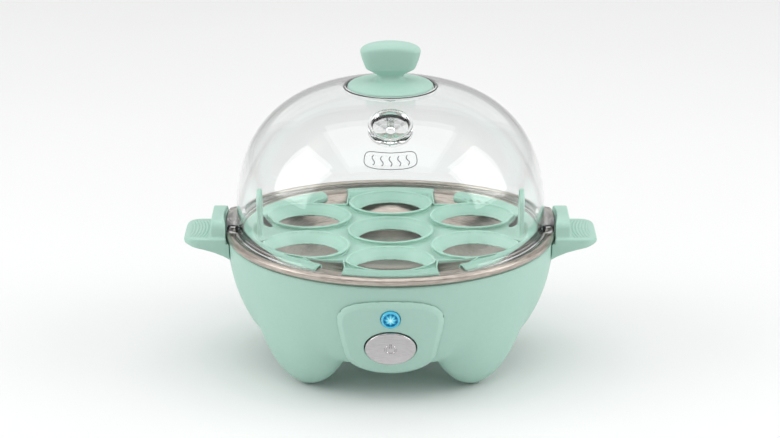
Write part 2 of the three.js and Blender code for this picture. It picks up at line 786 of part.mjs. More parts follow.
// The tray's flat sheet, with the raised edge that rests on the plate's ledge.
function traySheet() {
  const { radius, plateZ, plateTopZ } = TRAY;
  return solid(turned([
    [0, plateZ],
    [65.2, plateZ],
    [68, RIM.ledgeZ + GAP],
    [radius, RIM.ledgeZ + GAP],
    [radius, RIM.ledgeZ + 1.7],
    [67.2, RIM.ledgeZ + 1.7],
    [64.4, plateTopZ],
    [0, plateTopZ],
  ]));
}

function traySlots() {
  return QUARTERS.map(([sx, sy]) => {
    const outline = TRAY_SLOT.map(([x, y]) => [sx * x, sy * y]);
    return solid(slab(sx * sy > 0 ? outline : outline.reverse(), 50, 75));
  });
}

// The narrow leaf-shaped holes on both sides of the tabs.
function leafHoles() {
  return QUARTERS.map(([sx, sy]) => {
    const leaf = slab(ellipse(2, 6.4, 16), 50, 75).rotateZ(-sx * sy * rad(20));
    return solid(leaf.translate(sx * 61.6, sy * 15.5, 0));
  });
}

function eggTray() {
  const holes = cupCentres().map(([x, y]) => solid(disc(17.4, 50, 75).translate(x, y, 0)));
  const collars = cupCentres().map(([x, y]) => solid(cupCollar(x, y)));
  const open = cut(traySheet(), ...holes, ...traySlots());
  return cut(join(open, ...collars, liftTab(-1), liftTab(1)), ...leafHoles());
}

tray.add(part("egg_tray", eggTray(), trayMint));

// ---------------------------------------------------------------- the lid

function domePoint({ radius, baseZ, height, roundR, roundZ }, t) {
  return [radius * Math.cos(t) ** roundR, baseZ + height * Math.sin(t) ** roundZ];
}

// Points of a dome from its base up to where it narrows to the end radius.
function domeArc(dome, endR, count) {
  const end = Math.acos((endR / dome.radius) ** (1 / dome.roundR));
  return Array.from({ length: count + 1 }, (_, i) => domePoint(dome, end * (i / count) ** 0.9));
}

// The dome's wall, its foot on the plate's ledge and the seat for the knob on top.
function domeShell() {
  const foot = RIM.ledgeZ + GAP;
  const inside = domeArc(DOME_INSIDE, 6, 8);
  const ringTop = KNOB.seatZ + 2;
  return solid(turned([
    [74, foot],
    [76.9, foot],
    [76.9, foot + 1.8],
    [76, foot + 3],
    ...domeArc(DOME, 23.4, 10),
    [22.8, ringTop],
    [21.5, ringTop],
    [KNOB.seatR, KNOB.seatZ],
    [2.6, KNOB.seatZ],
    [2.6, inside.at(-1)[1]],
    ...inside.reverse(),
  ]));
}

// The steam vent: a shallow funnel with a round bore, in a raised collar.
function ventFunnel() {
  const { collarR, bore } = VENT;
  return turned([
    [bore, -3.4],
    [collarR, -3.4],
    [collarR, 2.2],
    [collarR - 1.4, 2.4],
    [collarR - 2.2, 0.4],
    [5.4, -0.6],
    [bore, -1.8],
  ], 24);
}

// The wide lug at the dome's left or right foot, which stands over the rim, inside the handle's tab.
function lidLug(side) {
  const { inner, out, half, bottomZ, topZ } = LUG;
  const ring = cut(
    solid(disc(out, bottomZ, topZ, RING_STEPS)),
    solid(disc(inner, bottomZ - 1, topZ + 1, RING_STEPS)),
  );
  return ring.intersect(solid(block(side * 80, 0, (bottomZ + topZ) / 2, 20, 2 * half, 6)));
}

function lidDome() {
  const frame = new THREE.Matrix4().makeRotationX(VENT.lean).setPosition(0, VENT.y, VENT.z);
  const opening = disc(VENT.collarR - 0.8, -9, 9, 24);
  return join(
    cut(domeShell(), solid(opening.applyMatrix4(frame))),
    solid(ventFunnel().applyMatrix4(frame)),
    lidLug(-1),
    lidLug(1),
  );
}

lid.add(part("lid_dome", lidDome(), clear));

// The knob: a round base and a flat-sided grip that is widest near its top.
function lidKnob() {
  const { seatZ, discR, topZ, flatness } = KNOB;
  const bottom = seatZ + GAP;
  const foot = solid(turned([
    [0, bottom],
    [discR - 0.3, bottom],
    [discR, bottom + 1],
    [discR - 0.8, bottom + 2.4],
    [13, bottom + 3.8],
    [0, bottom + 4.6],
  ], 32));
  const grip = solid(turned([
    [0, bottom + 2],
    [9, bottom + 2],
    [7, bottom + 5],
    [7.3, bottom + 7],
    [10.2, bottom + 9.2],
    [13, bottom + 11.4],
    [14.3, bottom + 15],
    [14, topZ - 3.4],
    [12.4, topZ - 1.2],
    [8, topZ - 0.2],
    [0, topZ],
  ], 24).scale(1, flatness, 1));
  return cut(join(foot, grip), solid(disc(1.9, 130, bottom + 13, 16)));
}

lid.add(part("lid_knob", lidKnob(), mint));

const insideTop = domePoint(DOME_INSIDE, Math.PI / 2)[1];
const washerZ = insideTop - 2;
const washer = turned([[2.4, washerZ], [6.4, washerZ], [6.4, washerZ + 1.4], [2.4, washerZ + 1.4]], 24);
lid.add(part("knob_washer", solid(washer), silicone));

const knobScrew = part("knob_screw", screw(4, 2.2, 1.6, 19), zinc);
knobScrew.position.z = washerZ - GAP - 2.2;
lid.add(knobScrew);

export default root;
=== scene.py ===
"""The looks of a countertop egg cooker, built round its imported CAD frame: a moulded base with four
soft legs, a steel heating plate, a lift-out egg tray and a clear domed lid.

Shapes are worked out in millimetres and turned into metres when a mesh is made. The moulded pieces
are distance fields, blended softly where they meet, and meshed by surface nets."""

import math

import bpy
import numpy as np
from mathutils import Matrix, Vector


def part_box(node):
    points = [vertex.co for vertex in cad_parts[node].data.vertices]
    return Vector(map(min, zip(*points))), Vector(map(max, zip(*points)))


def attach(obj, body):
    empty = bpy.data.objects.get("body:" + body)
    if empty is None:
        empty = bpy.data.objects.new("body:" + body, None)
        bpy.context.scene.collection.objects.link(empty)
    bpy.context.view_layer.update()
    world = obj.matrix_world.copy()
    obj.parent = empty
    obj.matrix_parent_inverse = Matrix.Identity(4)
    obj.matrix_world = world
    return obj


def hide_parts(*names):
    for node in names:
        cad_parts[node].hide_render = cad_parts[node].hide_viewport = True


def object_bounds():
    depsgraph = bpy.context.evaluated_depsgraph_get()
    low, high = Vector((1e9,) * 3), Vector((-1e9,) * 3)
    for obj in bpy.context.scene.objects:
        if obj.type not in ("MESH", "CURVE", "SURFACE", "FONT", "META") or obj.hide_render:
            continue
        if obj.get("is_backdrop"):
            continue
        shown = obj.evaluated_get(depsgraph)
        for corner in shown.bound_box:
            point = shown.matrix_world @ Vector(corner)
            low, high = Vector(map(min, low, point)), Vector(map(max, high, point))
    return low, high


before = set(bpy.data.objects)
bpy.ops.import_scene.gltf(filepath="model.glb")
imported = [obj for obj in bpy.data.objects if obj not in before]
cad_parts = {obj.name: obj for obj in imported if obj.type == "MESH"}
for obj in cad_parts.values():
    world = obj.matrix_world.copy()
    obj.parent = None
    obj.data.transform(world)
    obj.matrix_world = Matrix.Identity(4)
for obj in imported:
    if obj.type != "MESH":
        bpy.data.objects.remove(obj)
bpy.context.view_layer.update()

MM = 0.001


# ------------------------------------------------------------------ sizes, in millimetres

BOWL = dict(radius=80.0, depth=76.0, centre_z=61.0, top=63.1, bottom=16.0, wall=3.0, opening=23.0)
LOBE = dict(reach=57.1, centre_z=68.5, long=67.9, thick=22.7, wide=35.1)
PAD = dict(radius=2.8, height=2.3)
RIM = dict(radius=81.0, bottom=63.4, top=67.4, seat=77.6, ledge=64.3)
DOME = dict(radius=75.56, base=72.97, height=65.95, power_r=0.746, power_z=0.831)
DOME_INSIDE = dict(radius=74.3, base=72.97, height=62.9, power_r=0.746, power_z=0.831, pad=134.77)
KNOB = dict(seat=137.2, disc=20.7, neck_z=143.4, widest_z=157.0, top=159.6)
VENT = dict(y=-47.0, z=130.5, lean=math.radians(27.9), collar=10.5)
LUG = dict(inner=75.0, out=81.2, half=16.0, bottom=67.8, top=71.6)
TRAY = dict(radius=73.0, bottom=61.5, top=63.2, tab_x=65.5, tab_top=86.0)
CUP_CIRCLE = 47.0
HANDLE = dict(tip=101.5, half=16.5, root=78.0, clear=81.7, screw_z=57.5, screw_end=87.4)
HANDLE_TAB = dict(out=87.7, bottom=61.0, middle=64.0, top=73.3, half=14.8)
TREAD = dict(pitch=1.6, high=0.16, bow=0.012, inset=2.6, end=98.2)
PANEL = dict(proud=2.4, top=56.4, bottom=13.9)
BUTTON = dict(z=31.9, half=12.0, half_high=10.2, proud=3.4)
LENS = dict(z=48.1, radius=4.4, ring=3.3)
GLAND = dict(y=71.5, z=27.0, hole=5.6, bore=3.7, collar=8.2)
BANNER = dict(half_angle=0.2, half_high=3.2, middle=118.6, bow=26.0, pitch=0.065)
COVER = dict(radius=32.0, bottom=13.5, top=15.6, screws=28.2, hole=1.7)


# ------------------------------------------------------------------ fields

def smin(a, b, soft):
    """The lower of two fields, blended over a distance where they meet."""
    if soft <= 0:
        return np.minimum(a, b)
    share = np.clip(0.5 + 0.5 * (b - a) / soft, 0, 1)
    return b + (a - b) * share - soft * share * (1 - share)


def smax(a, b, soft=0.0):
    return -smin(-a, -b, soft)


def length(*parts):
    return np.sqrt(sum(part * part for part in parts))


def ellipsoid(x, y, z, a, b, c):
    """About how far a point is outside an ellipsoid with these half axes."""
    inner = length(x / a, y / b, z / c)
    slope = length(x / a**2, y / b**2, z / c**2) + 1e-9
    return inner * (inner - 1) / slope


def box2(x, y, half_x, half_y, radius):
    """How far a point is outside a rectangle with rounded corners."""
    dx = np.abs(x) - half_x + radius
    dy = np.abs(y) - half_y + radius
    return length(np.maximum(dx, 0), np.maximum(dy, 0)) + np.minimum(np.maximum(dx, dy), 0) - radius


def polygon(x, y, points):
    """How far a point is outside a closed polygon."""
    points = np.asarray(points, float)
    nearest = np.full(x.shape, 1e9)
    inside = np.zeros(x.shape, bool)
    for (ax, ay), (bx, by) in zip(points, np.roll(points, -1, axis=0)):
        ex, ey = bx - ax, by - ay
        along = np.clip(((x - ax) * ex + (y - ay) * ey) / (ex * ex + ey * ey), 0, 1)
        nearest = np.minimum(nearest, (x - ax - along * ex) ** 2 + (y - ay - along * ey) ** 2)
        crosses = (ay > y) != (by > y)
        if ey != 0:
            inside ^= crosses & (x < ax + ex * (y - ay) / ey)
    return np.where(inside, -1, 1) * np.sqrt(nearest)


def surface_net(field, low, high, step):
    """Vertices and quads of the surface where the field is zero, facing out."""
    axes = [np.arange(a - step, b + 2 * step, step) for a, b in zip(low, high)]
    grid = np.meshgrid(*axes, indexing="ij")
    value = field(*(g.ravel() for g in grid)).reshape(grid[0].shape)
    inside = value < 0
    corners = [(i, j, k) for i in (0, 1) for j in (0, 1) for k in (0, 1)]
    size = [n - 1 for n in value.shape]

    def shifted(array, corner):
        return array[tuple(slice(c, c + n) for c, n in zip(corner, size))]

    count = sum(shifted(inside, c).astype(np.int8) for c in corners)
    cells = np.argwhere((count > 0) & (count < 8))
    number = np.full(size, -1)
    number[tuple(cells.T)] = np.arange(len(cells))
    total = np.zeros((len(cells), 3))
    hits = np.zeros(len(cells))
    for axis in range(3):
        for start in (c for c in corners if c[axis] == 0):
            a = cells + start
            b = a.copy()
            b[:, axis] += 1
            va, vb = value[tuple(a.T)], value[tuple(b.T)]
            crossed = (va < 0) != (vb < 0)
            share = np.where(crossed, va / np.where(crossed, va - vb, 1), 0)
            point = np.tile(np.array(start, float), (len(cells), 1))
            point[:, axis] += share
            total += point * crossed[:, None]
            hits += crossed
    origin = np.array([axis[0] for axis in axes])
    points = origin + (cells + total / hits[:, None]) * step
    quads = []
    for axis in range(3):
        u, v = (axis + 1) % 3, (axis + 2) % 3
        lower = [slice(None)] * 3
        upper = [slice(None)] * 3
        lower[axis] = slice(0, -1)
        upper[axis] = slice(1, None)
        start_in, end_in = inside[tuple(lower)], inside[tuple(upper)]
        at = np.argwhere(start_in != end_in)
        at = at[(at[:, u] > 0) & (at[:, v] > 0) & (at[:, u] < size[u]) & (at[:, v] < size[v])]
        around = []
        for du, dv in ((0, 0), (1, 0), (1, 1), (0, 1)):
            cell = at.copy()
            cell[:, u] -= du
            cell[:, v] -= dv
            around.append(number[tuple(cell.T)])
        quad = np.stack(around, axis=1)
        facing_in = ~start_in[tuple(at.T)]
        quad[facing_in] = quad[facing_in][:, ::-1]
        quads.append(quad)
    return points, np.concatenate(quads)


def slope_of(field, points, reach=0.02):
    """The field's gradient at each point."""
    sides = []
    for axis in range(3):
        shift = np.zeros(3)
        shift[axis] = reach
        ahead = field(*(points + shift).T)
        behind = field(*(points - shift).T)
        sides.append((ahead - behind) / (2 * reach))
    return np.stack(sides, axis=1)


def settle(field, points, step, passes=4):
    """Moves each point onto the surface along the field's slope, by a short way at most."""
    for _ in range(passes):
        slope = slope_of(field, points)
        square = np.maximum((slope**2).sum(axis=1), 0.05)
        move = -field(*points.T)[:, None] * slope / square[:, None]
        far = np.maximum(np.linalg.norm(move, axis=1) / (0.45 * step), 1)
        points = points + move / far[:, None]
    return points


def moulded(name, field, low, high, step, material):
    """A mesh of the field's surface inside a box, with the field's own normals."""
    points, quads = surface_net(field, low, high, step)
    points = settle(field, points, step)
    obj = mesh_object(name, points, quads.tolist(), material)
    normals = slope_of(field, points)
    normals /= np.maximum(np.linalg.norm(normals, axis=1), 1e-6)[:, None]
    obj.data.normals_split_custom_set_from_vertices(normals.tolist())
    return obj


# ------------------------------------------------------------------ meshes

def mesh_object(name, points, faces, material, smooth=True):
    """An object from points in millimetres."""
    mesh = bpy.data.meshes.new(name)
    mesh.from_pydata((np.asarray(points) * MM).tolist(), [], faces)
    mesh.validate()
    mesh.update()
    mesh.materials.append(material)
    mesh.polygons.foreach_set("use_smooth", [smooth] * len(mesh.polygons))
    obj = bpy.data.objects.new(name, mesh)
    bpy.context.scene.collection.objects.link(obj)
    return obj


def lathe_data(profile, steps):
    """Points and faces of a closed profile of (radius, height) turned about Z, facing out when the
    profile runs up on the outside. Points on the axis become one vertex each."""
    points, faces, rows = [], [], []
    for r, z in profile:
        if r < 1e-6:
            rows.append([len(points)] * steps)
            points.append((0, 0, z))
            continue
        rows.append(list(range(len(points), len(points) + steps)))
        for i in range(steps):
            a = 2 * math.pi * i / steps
            points.append((r * math.cos(a), r * math.sin(a), z))
    pairs = list(zip(rows, rows[1:]))
    if len(set(rows[0])) > 1:
        pairs.append((rows[-1], rows[0]))
    for lower, upper in pairs:
        for i in range(steps):
            j = (i + 1) % steps
            face = []
            for corner in (lower[i], lower[j], upper[j], upper[i]):
                if corner not in face:
                    face.append(corner)
            if len(face) > 2:
                faces.append(face)
    return points, faces


def lathe(name, profile, steps, material, sharp=40):
    points, faces = lathe_data(profile, steps)
    obj = mesh_object(name, points, faces, material)
    obj.data.set_sharp_from_angle(angle=math.radians(sharp))
    return obj


def rounded(profile, radius, closed=True, arc=5):
    """The profile with each corner turned into an arc."""
    made = []
    count = len(profile)
    for i, here in enumerate(profile):
        here = Vector(here)
        if not closed and i in (0, count - 1):
            made.append(tuple(here))
            continue
        before = Vector(profile[i - 1]) - here
        after = Vector(profile[(i + 1) % count]) - here
        turn = before.angle(after)
        reach = min(radius / math.tan(turn / 2), 0.45 * before.length, 0.45 * after.length)
        a, b = here + before.normalized() * reach, here + after.normalized() * reach
        for k in range(arc + 1):
            t = k / arc
            made.append(tuple((1 - t) ** 2 * a + 2 * t * (1 - t) * here + t * t * b))
    return made


def place(obj, matrix):
    """Moves the mesh itself by a matrix in millimetres."""
    metres = matrix.copy()
    metres.translation *= MM
    obj.data.transform(metres)
    return obj


def boolean(obj, other, operation):
    """Joins another mesh to obj or cuts it away, and removes it."""
    modifier = obj.modifiers.new(operation, "BOOLEAN")
    modifier.operation = operation
    modifier.solver = "EXACT"
    modifier.object = other
    made = bpy.data.meshes.new_from_object(
        obj.evaluated_get(bpy.context.evaluated_depsgraph_get())
    )
    obj.modifiers.clear()
    obj.data = made
    bpy.data.objects.remove(other)


# ------------------------------------------------------------------ frames on the base

def front_frame(z):
    """The frame on the bowl's front at height z whose Z axis points straight out of it."""
    share = (z - BOWL["centre_z"]) / BOWL["depth"]
    y = -BOWL["radius"] * math.sqrt(1 - share * share)
    lean = math.atan2(-share / BOWL["depth"], -y / BOWL["radius"] ** 2)
    return Matrix.Translation((0, y, z)) @ Matrix.Rotation(math.pi / 2 + lean, 4, "X")


def local(matrix, x, y, z):
    """Points in a frame's own coordinates."""
    inverse = np.array(matrix.inverted())
    return tuple(inverse[i, 0] * x + inverse[i, 1] * y + inverse[i, 2] * z + inverse[i, 3] for i in range(3))


BUTTON_FRAME = front_frame(BUTTON["z"])
LENS_FRAME = front_frame(LENS["z"])
GLAND_FRAME = Matrix.Translation((0, GLAND["y"], GLAND["z"])) @ Matrix.Rotation(-math.pi / 2, 4, "X")


def oval(matrix, x, y, z, half, half_high):
    """How far a point is outside an oval tube along a frame's Z axis."""
    u, v, _ = local(matrix, x, y, z)
    reach = length(u / half, v / half_high)
    slope = length(u / half**2, v / half_high**2) + 1e-9
    return reach * (reach - 1) / slope


def tunnel(matrix, x, y, z, half, half_high, deep):
    """How far a point is outside an oval tunnel that runs this deep on both sides of a frame."""
    along = local(matrix, x, y, z)[2]
    return smax(oval(matrix, x, y, z, half, half_high), np.abs(along) - deep)


# ------------------------------------------------------------------ materials

def node(tree, kind, **values):
    made = tree.nodes.new(kind)
    for name, value in values.items():
        if hasattr(made, name):
            setattr(made, name, value)
        else:
            made.inputs[name.replace("_", " ").title()].default_value = value
    return made


def srgb(red, green, blue):
    """A colour from 0 to 255 a channel as linear light."""
    def linear(value):
        value /= 255
        return value / 12.92 if value <= 0.04045 else ((value + 0.055) / 1.055) ** 2.4
    return (linear(red), linear(green), linear(blue), 1)


def sum_of(tree, operation, a, b=None):
    """The result of one operation on links or plain numbers."""
    made = node(tree, "ShaderNodeMath", operation=operation)
    for socket, value in zip(made.inputs, (a, b)):
        if isinstance(value, (int, float)):
            socket.default_value = value
        elif value is not None:
            tree.links.new(value, socket)
    return made.outputs["Value"]


def shades(tree, factor, dark, light):
    """A colour between two, by factor."""
    ramp = tree.nodes.new("ShaderNodeValToRGB")
    ramp.color_ramp.elements[0].color = dark
    ramp.color_ramp.elements[1].color = light
    ramp.color_ramp.elements[0].position = 0.3
    ramp.color_ramp.elements[1].position = 0.7
    tree.links.new(factor, ramp.inputs["Fac"])
    return ramp.outputs["Color"]


def spread(tree, factor, low, high):
    """A number between two, by factor."""
    made = node(tree, "ShaderNodeMapRange")
    made.inputs["To Min"].default_value = low
    made.inputs["To Max"].default_value = high
    tree.links.new(factor, made.inputs["Value"])
    return made.outputs["Result"]


def noise(tree, vector, scale, detail=3.0):
    made = tree.nodes.new("ShaderNodeTexNoise")
    made.inputs["Scale"].default_value = scale
    made.inputs["Detail"].default_value = detail
    tree.links.new(vector, made.inputs["Vector"])
    return made.outputs["Fac"]


def new_material(name):
    material = bpy.data.materials.new(name)
    material.use_nodes = True
    tree = material.node_tree
    shader = tree.nodes["Principled BSDF"]
    place_of = tree.nodes.new("ShaderNodeTexCoord").outputs["Object"]
    return material, tree, shader, place_of


def bump(tree, shader, height, strength, distance):
    made = tree.nodes.new("ShaderNodeBump")
    made.inputs["Strength"].default_value = strength
    made.inputs["Distance"].default_value = distance
    tree.links.new(height, made.inputs["Height"])
    tree.links.new(made.outputs["Normal"], shader.inputs["Normal"])


def plastic(name, dark, light, rough, grain=2600.0, depth=0.00003, soft=0.0, coat=0.0):
    """Moulded plastic: slow drifts of colour, finer mottling, a fine spark-eroded grain, and gloss
    that varies a little where hands and cloths have been."""
    material, tree, shader, where = new_material(name)
    drift = noise(tree, where, 14.0, 2.0)
    mottle = noise(tree, where, 420.0, 4.0)
    both = tree.nodes.new("ShaderNodeMix")
    both.inputs["Factor"].default_value = 0.35
    tree.links.new(drift, both.inputs["A"])
    tree.links.new(mottle, both.inputs["B"])
    colour = shades(tree, both.outputs["Result"], dark, light)
    tree.links.new(colour, shader.inputs["Base Color"])
    gloss = spread(tree, noise(tree, where, 60.0, 5.0), rough - 0.05, rough + 0.06)
    tree.links.new(gloss, shader.inputs["Roughness"])
    shader.inputs["Specular IOR Level"].default_value = 0.45
    shader.inputs["Subsurface Weight"].default_value = soft
    shader.inputs["Subsurface Radius"].default_value = (0.6, 1.0, 0.85)
    shader.inputs["Subsurface Scale"].default_value = 0.002
    shader.inputs["Coat Weight"].default_value = coat
    shader.inputs["Coat Roughness"].default_value = 0.12
    bump(tree, shader, noise(tree, where, grain, 2.0), 0.35, depth)
    return material


def metal(name, dark, light, rough, turned=True, lines=0.5, anisotropy=0.5):
    """Brushed metal. The brush marks run round the Z axis when turned, and along X when not."""
    material, tree, shader, where = new_material(name)
    axes = node(tree, "ShaderNodeSeparateXYZ")
    tree.links.new(where, axes.inputs["Vector"])
    brushed = node(tree, "ShaderNodeCombineXYZ")
    if turned:
        flat = node(tree, "ShaderNodeCombineXYZ")
        tree.links.new(axes.outputs["X"], flat.inputs["X"])
        tree.links.new(axes.outputs["Y"], flat.inputs["Y"])
        reach = node(tree, "ShaderNodeVectorMath", operation="LENGTH")
        tree.links.new(flat.outputs["Vector"], reach.inputs[0])
        angle = sum_of(tree, "ARCTAN2", axes.outputs["Y"], axes.outputs["X"])
        tree.links.new(reach.outputs["Value"], brushed.inputs["X"])
        tree.links.new(sum_of(tree, "MULTIPLY", angle, 0.006), brushed.inputs["Y"])
        tree.links.new(axes.outputs["Z"], brushed.inputs["Z"])
        marks = noise(tree, brushed.outputs["Vector"], 2600.0, 4.0)
    else:
        tree.links.new(sum_of(tree, "MULTIPLY", axes.outputs["X"], 0.04), brushed.inputs["X"])
        tree.links.new(axes.outputs["Y"], brushed.inputs["Y"])
        tree.links.new(axes.outputs["Z"], brushed.inputs["Z"])
        marks = noise(tree, brushed.outputs["Vector"], 3200.0, 4.0)
    tree.links.new(shades(tree, marks, dark, light), shader.inputs["Base Color"])
    tree.links.new(spread(tree, marks, rough - 0.07, rough + 0.08), shader.inputs["Roughness"])
    shader.inputs["Metallic"].default_value = 1.0
    shader.inputs["Anisotropic"].default_value = anisotropy
    bump(tree, shader, marks, lines, 0.00002)
    return material


def clear_plastic(name):
    """Clear styrene. Lamps shine through it, and fine wear mottles its gloss."""
    material, tree, shader, where = new_material(name)
    shader.inputs["Base Color"].default_value = (0.985, 0.992, 0.99, 1)
    shader.inputs["Transmission Weight"].default_value = 1.0
    shader.inputs["IOR"].default_value = 1.49
    tree.links.new(spread(tree, noise(tree, where, 90.0, 4.0), 0.0, 0.03), shader.inputs["Roughness"])
    bump(tree, shader, noise(tree, where, 22.0, 1.0), 0.05, 0.0002)
    path = tree.nodes.new("ShaderNodeLightPath")
    through = tree.nodes.new("ShaderNodeBsdfTransparent")
    through.inputs["Color"].default_value = (0.95, 0.965, 0.96, 1)
    mix = tree.nodes.new("ShaderNodeMixShader")
    tree.links.new(path.outputs["Is Shadow Ray"], mix.inputs["Fac"])
    tree.links.new(shader.outputs["BSDF"], mix.inputs[1])
    tree.links.new(through.outputs["BSDF"], mix.inputs[2])
    tree.links.new(mix.outputs["Shader"], tree.nodes["Material Output"].inputs["Surface"])
    return material


def jewel_plastic(name):
    """Lit blue plastic: a bright star of eight rays at the middle, a dark ring and a pale bezel."""
    material, tree, shader, where = new_material(name)
    inside = node(tree, "ShaderNodeMapping", vector_type="TEXTURE")
    inside.inputs["Location"].default_value = LENS_FRAME.translation * MM
    inside.inputs["Rotation"].default_value = LENS_FRAME.to_euler()
    tree.links.new(where, inside.inputs["Vector"])
    axes = node(tree, "ShaderNodeSeparateXYZ")
    tree.links.new(inside.outputs["Vector"], axes.inputs["Vector"])
    across, up = axes.outputs["X"], axes.outputs["Y"]
    across_square = sum_of(tree, "MULTIPLY", across, across)
    up_square = sum_of(tree, "MULTIPLY", up, up)
    square = sum_of(tree, "ADD", across_square, up_square)
    reach = sum_of(tree, "DIVIDE", sum_of(tree, "SQRT", square), LENS["ring"] * MM)
    turn = sum_of(tree, "MULTIPLY", sum_of(tree, "ARCTAN2", up, across), 8.0)
    ray = sum_of(tree, "MULTIPLY", sum_of(tree, "COSINE", turn), 0.3)
    fall = sum_of(tree, "SUBTRACT", 1.0, reach)
    star = sum_of(tree, "ADD", fall, sum_of(tree, "MULTIPLY", ray, reach))
    ramp = tree.nodes.new("ShaderNodeValToRGB")
    ramp.color_ramp.elements[0].position = 0.02
    ramp.color_ramp.elements[0].color = srgb(16, 112, 160)
    ramp.color_ramp.elements[1].position = 0.95
    ramp.color_ramp.elements[1].color = srgb(196, 240, 242)
    for spot, colour in ((0.25, srgb(30, 150, 195)), (0.55, srgb(84, 205, 226))):
        ramp.color_ramp.elements.new(spot).color = colour
    tree.links.new(star, ramp.inputs["Fac"])
    edge = node(tree, "ShaderNodeMapRange")
    edge.inputs["From Min"].default_value = 1.0
    edge.inputs["From Max"].default_value = 1.08
    tree.links.new(reach, edge.inputs["Value"])
    mix = node(tree, "ShaderNodeMix", data_type="RGBA")
    tree.links.new(edge.outputs["Result"], mix.inputs["Factor"])
    tree.links.new(ramp.outputs["Color"], mix.inputs[6])
    mix.inputs[7].default_value = srgb(72, 182, 212)
    tree.links.new(mix.outputs[2], shader.inputs["Base Color"])
    tree.links.new(mix.outputs[2], shader.inputs["Emission Color"])
    shader.inputs["Emission Strength"].default_value = 0.2
    shader.inputs["IOR"].default_value = 1.55
    tree.links.new(spread(tree, noise(tree, where, 900.0, 2.0), 0.05, 0.16), shader.inputs["Roughness"])
    shader.inputs["Coat Weight"].default_value = 0.6
    shader.inputs["Coat Roughness"].default_value = 0.04
    return material


MINT = plastic("mint_plastic", srgb(168, 205, 191), srgb(174, 210, 197), 0.42, soft=0.12)
PANEL_MINT = plastic("mint_panel", srgb(169, 206, 192), srgb(175, 211, 198), 0.36, soft=0.12)
TRAY_MINT = plastic("tray_plastic", srgb(158, 200, 184), srgb(166, 206, 191), 0.4, soft=0.15)
STEEL = metal("plate_steel", srgb(158, 148, 139), srgb(204, 195, 186), 0.3, lines=0.35)
SATIN = metal(
    "button_metal", srgb(190, 185, 187), srgb(212, 206, 208), 0.2, turned=False, lines=0.12, anisotropy=0.2
)
ZINC = metal("zinc_steel", srgb(140, 143, 146), srgb(176, 179, 182), 0.38, turned=False)
ALUMINIUM = metal("aluminium_sheet", srgb(182, 184, 187), srgb(208, 210, 212), 0.42)
CLEAR = clear_plastic("clear_plastic")
JEWEL = jewel_plastic("blue_lens")
BLACK = plastic("black_plastic", srgb(24, 25, 27), srgb(38, 39, 41), 0.5)
RUBBER = plastic("foot_rubber", srgb(150, 178, 167), srgb(164, 190, 180), 0.82, grain=1500.0, depth=0.00008)
SILICONE = plastic("silicone", srgb(206, 208, 202), srgb(224, 225, 219), 0.66, soft=0.2)
CERAMIC = plastic("ceramic_white", srgb(214, 206, 190), srgb(233, 227, 214), 0.6, grain=1800.0)
BOARD = plastic("circuit_board_green", srgb(28, 92, 56), srgb(46, 118, 74), 0.45, grain=700.0, depth=0.00006)
LEAD = plastic("lead_insulation", srgb(26, 27, 30), srgb(44, 45, 48), 0.48)
PRINT = plastic("banner_ink", srgb(78, 80, 86), srgb(104, 106, 112), 0.55)


# ------------------------------------------------------------------ the base

def bowl_field(x, y, z):
    return ellipsoid(x, y, z - BOWL["centre_z"], BOWL["radius"], BOWL["radius"], BOWL["depth"])


def lobe_field(x, y, z):
    """All four lobes: each is a tall ellipsoid that swells out of the bowl."""
    ax, ay = np.abs(x), np.abs(y)
    out = (ax + ay) / math.sqrt(2) - LOBE["reach"]
    across = (ay - ax) / math.sqrt(2)
    up = z - LOBE["centre_z"]
    return ellipsoid(out, across, up, LOBE["thick"], LOBE["wide"], LOBE["long"])


def skin_field(x, y, z):
    """The outside of the base without its top: the bowl, flattened below, and the lobes."""
    bowl = smax(bowl_field(x, y, z), BOWL["bottom"] - z, 9.0)
    return smin(bowl, lobe_field(x, y, z), 1.6)


def cover_screw_distances(x, y):
    """How far a point is from the axis of each of the cover's four screws."""
    turns = [turn * math.pi / 2 for turn in range(4)]
    return [length(x - COVER["screws"] * math.cos(a), y - COVER["screws"] * math.sin(a)) for a in turns]


pad_low, pad_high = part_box("foot_pad_back_right")
PAD_X = (pad_low.x + pad_high.x) / 2 / MM


def housing_field(x, y, z):
    """The base: bowl and lobes as one hollow shell, with screw bosses, openings and foot sockets."""
    skin = skin_field(x, y, z)
    solid = smax(skin, -(skin + BOWL["wall"]), 0.6)
    for from_screw in cover_screw_distances(x, y):
        solid = smin(solid, smax(smax(from_screw - 4.0, 16.7 - z), z - 23.5), 0.8)
    solid = smax(solid, z - BOWL["top"], 1.2)
    solid = smax(solid, -smax(length(x, y) - BOWL["opening"], z - 25), 1.0)
    for from_screw in cover_screw_distances(x, y):
        solid = smax(solid, -smax(from_screw - COVER["hole"], z - 30), 0.3)
    room = tunnel(BUTTON_FRAME, x, y, z, BUTTON["half"] + 2.6, BUTTON["half_high"] + 2.6, 12)
    solid = smax(solid, -room, 0.4)
    room = tunnel(LENS_FRAME, x, y, z, LENS["radius"] + 1.4, LENS["radius"] + 1.4, 12)
    solid = smax(solid, -room, 0.4)
    room = tunnel(GLAND_FRAME, x, y, z, GLAND["hole"], GLAND["hole"], 14)
    solid = smax(solid, -room, 0.3)
    foot = length(np.abs(x) - PAD_X, np.abs(y) - PAD_X) - PAD["radius"] - 0.3
    return smax(solid, -smax(foot, z - PAD["height"] - 0.3), 0.3)


housing = moulded("housing_shell", housing_field, (-81, -81, 0), (81, 81, 64), 1.05, MINT)
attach(housing, "base")
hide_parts("base_housing")

